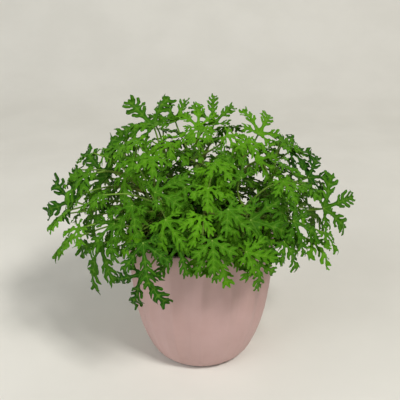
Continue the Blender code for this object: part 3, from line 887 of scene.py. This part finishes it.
# %% Mix a material
class Recipe:
    def __init__(self, material):
        """material: the name for a new one, or one that is already on its pieces."""
        known = isinstance(material, bpy.types.Material)
        self.material = material if known else bpy.data.materials.new(material)
        self.material.use_nodes = True
        self.tree = self.material.node_tree
        self.tree.nodes.clear()
        self.place = self.add("TexCoord").outputs["Object"]

    def add(self, kind, inputs=None, **settings):
        made = self.tree.nodes.new("ShaderNode" + kind)
        for name, value in settings.items():
            setattr(made, name, value)
        for socket, value in (inputs or {}).items():
            if isinstance(value, bpy.types.NodeSocket):
                self.tree.links.new(value, made.inputs[socket])
            else:
                made.inputs[socket].default_value = value
        return made

    def noise(self, scale, detail=3.0, roughness=0.55, distortion=0.0):
        values = {"Scale": scale, "Detail": detail, "Roughness": roughness, "Distortion": distortion}
        return self.add("TexNoise", {"Vector": self.place, **values}).outputs["Fac"]

    def spread(self, value, low, high, to_low=0.0, to_high=1.0):
        """A value stretched smoothly from one range to another."""
        values = {"Value": value, 1: low, 2: high, 3: to_low, 4: to_high}
        return self.add("MapRange", values, interpolation_type="SMOOTHSTEP").outputs[0]

    def math(self, operation, one, other):
        return self.add("Math", {0: one, 1: other}, operation=operation).outputs[0]

    def mix(self, share, first, second):
        """Colours mixed by a share; a colour is given as red, green and blue or as another output."""
        first, second = [(*c, 1.0) if isinstance(c, tuple) else c for c in (first, second)]
        # A colour mix has its factor in socket 0, its two colours in 6 and 7, and gives output 2.
        return self.add("Mix", {0: share, 6: first, 7: second}, data_type="RGBA").outputs[2]

    def value(self, name):
        return self.add("Attribute", attribute_name=name).outputs["Fac"]

    def bump(self, height, strength, distance):
        values = {"Height": height, "Strength": strength, "Distance": distance}
        return self.add("Bump", values).outputs["Normal"]

    def finish(self, **inputs):
        """The shader itself; names with spaces are written with underscores."""
        named = {name.replace("_", " "): value for name, value in inputs.items()}
        shader = self.add("BsdfPrincipled", named)
        self.add("OutputMaterial", {"Surface": shader.outputs[0]})


# %% [markdown]
# ### Leaf green
# A leaf's colour tells its age. Young blades are a bright yellow green and old ones are darker, with tips
# that have turned dull brown. The fingers and teeth carry a painted highlight, a paler green for light
# catching their edges, strongest on young leaves. The veins are paler than the blade. The underside is greyer
# and matt. Both sides let a little light through, which makes leaves glow against it, so a translucent shader
# is mixed with the surface's own.


# %% Colour the leaves
YOUNG_GREEN, OLD_GREEN = (0.125, 0.360, 0.005), (0.012, 0.078, 0.002)
# Of the next line's colours, the pale tip green is a painted highlight on the fingers and teeth; the brown is
# their real withering.
VEIN_GREEN, TIP_HIGHLIGHT_GREEN, TIP_BROWN = (0.22, 0.42, 0.04), (0.21, 0.46, 0.045), (0.05, 0.045, 0.006)
BLOTCH_GREEN, GRAIN_GREEN, GREY_GREEN = (0.045, 0.17, 0.003), (0.02, 0.09, 0.003), (0.15, 0.28, 0.06)
GLOWING_GREEN = (0.13, 0.36, 0.004)
LIGHT_THROUGH = 0.10  # share of the translucent shader


def leaf_material(material, pale, roughness):
    """pale: how far the side's colour goes to a greyer green."""
    r = Recipe(material)
    age, vein, tip = r.value("age"), r.value("vein"), r.value("tip")
    blotches = r.spread(r.noise(90, 4), 0.35, 0.65)
    grain = r.noise(900, 3)
    colour = r.mix(age, YOUNG_GREEN, OLD_GREEN)
    colour = r.mix(r.math("MULTIPLY", blotches, 0.35), colour, BLOTCH_GREEN)
    colour = r.mix(r.math("MULTIPLY", r.spread(grain, 0.3, 0.7), 0.25), colour, GRAIN_GREEN)
    colour = r.mix(r.math("MULTIPLY", r.spread(vein, 0.72, 1.0), 0.30), colour, VEIN_GREEN)
    # Painted highlight: the fingers and teeth are turned a paler green, as if lit at their edges, more on
    # young leaves.
    tip_highlight = r.math("MULTIPLY", r.spread(tip, 0.2, 1.0), r.spread(age, 0.7, 0.0, 0.10, 0.45))
    colour = r.mix(tip_highlight, colour, TIP_HIGHLIGHT_GREEN)
    worn = r.math("MULTIPLY", r.spread(tip, 0.45, 1.0), r.spread(r.noise(60, 2), 0.40, 0.60))
    colour = r.mix(r.math("MULTIPLY", worn, r.spread(age, 0.3, 0.9, 0.15, 0.75)), colour, TIP_BROWN)
    colour = r.mix(pale, colour, GREY_GREEN)
    height = r.math("ADD", r.math("MULTIPLY", grain, 0.6), r.math("MULTIPLY", r.noise(260, 4), 1.0))
    normal = r.bump(height, 0.8, 0.0008)
    rough = r.spread(r.noise(200, 3), 0.3, 0.7, roughness - 0.08, roughness + 0.10)
    surface = r.add("BsdfPrincipled", {
        "Base Color": colour, "Roughness": rough, "Normal": normal,
        "Specular IOR Level": 0.08, "Sheen Weight": 0.02, "Sheen Roughness": 0.5,
    })
    glow = r.mix(0.5, colour, GLOWING_GREEN)
    through = r.add("BsdfTranslucent", {"Color": glow, "Normal": normal})
    both = r.add("MixShader", {0: LIGHT_THROUGH, 1: surface.outputs[0], 2: through.outputs[0]})
    r.add("OutputMaterial", {"Surface": both.outputs[0]})


leaf_material(LEAF_FINISHES[0], 0.0, 0.50)
leaf_material(LEAF_FINISHES[1], 0.35, 0.72)

# %% Colour the petioles and the stems
r = Recipe(LEAF_FINISHES[2])
flush = r.math("MULTIPLY", r.spread(r.value("stalk"), 0.9, 0.0), r.spread(r.noise(25, 2), 0.35, 0.65))
colour = r.mix(r.math("MULTIPLY", flush, 0.75), (0.15, 0.29, 0.025), (0.12, 0.060, 0.020))
colour = r.mix(r.math("MULTIPLY", r.noise(700, 3), 0.3), colour, (0.24, 0.38, 0.06))
r.finish(Base_Color=colour, Roughness=r.spread(r.noise(300), 0.3, 0.7, 0.45, 0.65),
         Specular_IOR_Level=0.25, Normal=r.bump(r.noise(1400, 2), 0.4, 0.0003))

r = Recipe("geranium_stem")
corky = r.spread(r.math("ADD", r.value("height"), r.math("MULTIPLY", r.noise(70, 3), 0.35)), 0.75, 0.35)
green = r.mix(r.spread(r.noise(120, 4), 0.35, 0.65), (0.09, 0.19, 0.020), (0.17, 0.27, 0.035))
bark = r.mix(r.spread(r.noise(260, 5), 0.3, 0.7), (0.055, 0.032, 0.016), (0.17, 0.11, 0.06))
rings = r.noise(500, 4, 0.6, 0.4)
r.finish(Base_Color=r.mix(corky, green, bark), Roughness=r.spread(rings, 0.3, 0.7, 0.55, 0.85),
         Normal=r.bump(rings, 0.7, 0.0006))
stem_finish = r.material

# %% [markdown]
# ### Pot, soil and backdrop
# The pot is a matt, dusty pink plastic. A faint unevenness in its colour and a fine grain keep it from
# looking like a solid computer colour, and a little soil dust has settled low down and on the rim.

# %% Colour the pot
r = Recipe("dusty_pink_pot")
cloudy = r.spread(r.noise(18, 4, 0.6), 0.3, 0.7)
colour = r.mix(cloudy, (0.505, 0.328, 0.304), (0.555, 0.368, 0.350))
speck = r.spread(r.noise(1500, 2), 0.62, 0.74)
colour = r.mix(r.math("MULTIPLY", speck, 0.25), colour, (0.33, 0.20, 0.16))
up = r.add("SeparateXYZ", {0: r.place}).outputs["Z"]
dust = r.math("MULTIPLY", r.spread(up, 0.022, 0.0), r.spread(r.noise(120, 5, 0.7), 0.42, 0.68))
inside = r.spread(up, rim_height - 0.004, rim_height)
dust = r.math("MAXIMUM", dust, r.math("MULTIPLY", inside, r.spread(r.noise(220, 4), 0.5, 0.7)))
colour = r.mix(r.math("MULTIPLY", dust, 0.28), colour, (0.20, 0.14, 0.10))
grain = r.math("ADD", r.noise(1800, 2), r.math("MULTIPLY", r.noise(300, 3), 0.6))
r.finish(Base_Color=colour, Roughness=r.spread(r.noise(60, 4), 0.3, 0.7, 0.48, 0.60),
         Normal=r.bump(grain, 0.16, 0.0003))
pot_finish = r.material

# %% Colour the soil
r = Recipe("dark_potting_soil")
lumps = r.noise(450, 6, 0.7)
colour = r.mix(r.spread(lumps, 0.35, 0.7), (0.010, 0.007, 0.005), (0.055, 0.036, 0.022))
fibre = r.spread(r.noise(1200, 3, 0.6, 1.5), 0.66, 0.78)
colour = r.mix(r.math("MULTIPLY", fibre, 0.5), colour, (0.16, 0.10, 0.055))
r.finish(Base_Color=colour, Roughness=r.spread(lumps, 0.3, 0.7, 0.80, 0.95),
         Normal=r.bump(lumps, 0.9, 0.0012))
soil_finish = r.material


def dress(obj, material):
    obj.data.materials.clear()
    obj.data.materials.append(material)


dress(pot, pot_finish)
dress(soil, soil_finish)
for name in stem_nodes:
    dress(bpy.data.objects[name + "_bark"], stem_finish)

# %% [markdown]
# ## Backdrop, light and camera
# A sheet that curves from the floor up to the wall gives a background with no edge. The key light stands
# high in front and to the right, so the leaves throw a soft shadow on the upper part of the pot, and the
# pot's own falls to the left, behind it. A weaker, wider light from the left keeps that side readable.

# %% Set the stage
SWEEP_STEP = 0.105  # length of each of the nine faces that turn the floor up into the wall
bpy.ops.object.select_all(action="DESELECT")
bpy.ops.mesh.primitive_plane_add(size=6, location=(0, -2.1, 0))
backdrop = bpy.context.object
backdrop.name = "backdrop"
start_edit(backdrop)
pick(backdrop, "EDGE", lambda co: co.y > 2.9)
for turn in range(5, 95, 10):
    extrude_by(0, SWEEP_STEP * math.cos(math.radians(turn)), SWEEP_STEP * math.sin(math.radians(turn)))
extrude_by(0, 0, 3)
end_edit()
bpy.ops.object.shade_smooth()
r = Recipe("pale_plaster")
colour = r.mix(r.spread(r.noise(6, 4), 0.3, 0.7), (0.72, 0.705, 0.65), (0.76, 0.745, 0.69))
r.finish(Base_Color=colour, Roughness=0.85, Normal=r.bump(r.noise(90, 4), 0.1, 0.001))
dress(backdrop, r.material)

world = bpy.data.worlds.new("studio")
bpy.context.scene.world = world
world.use_nodes = True
studio_light = world.node_tree.nodes["Background"].inputs
studio_light["Color"].default_value = (1.0, 0.985, 0.95, 1)
studio_light["Strength"].default_value = 0.20


def area_light(name, at, aim, size, power, colour):
    light = bpy.data.lights.new(name, "AREA")
    light.size, light.energy, light.color = size, power, colour
    obj = bpy.data.objects.new(name, light)
    bpy.context.scene.collection.objects.link(obj)
    obj.location = at
    obj.rotation_euler = (Vector(aim) - Vector(at)).to_track_quat("-Z", "Y").to_euler()


area_light("key", (1.35, -1.55, 2.60), (0, 0, 0.12), 0.65, 74, (1.0, 0.98, 0.95))
area_light("fill", (-1.6, -1.2, 1.2), (0, 0, 0.12), 1.6, 24, (0.95, 0.98, 1.0))

camera = bpy.data.cameras.new("camera")
camera.lens, camera.sensor_width = 54, 36
viewer = bpy.data.objects.new("camera", camera)
bpy.context.scene.collection.objects.link(viewer)
viewer.location = (-0.0011, -0.532, 0.383)
sight = Vector((-0.0011, -0.005, 0.164)) - viewer.location
viewer.rotation_euler = sight.to_track_quat("-Z", "Y").to_euler()
bpy.context.scene.camera = viewer
bpy.context.scene.view_settings.view_transform = "Standard"
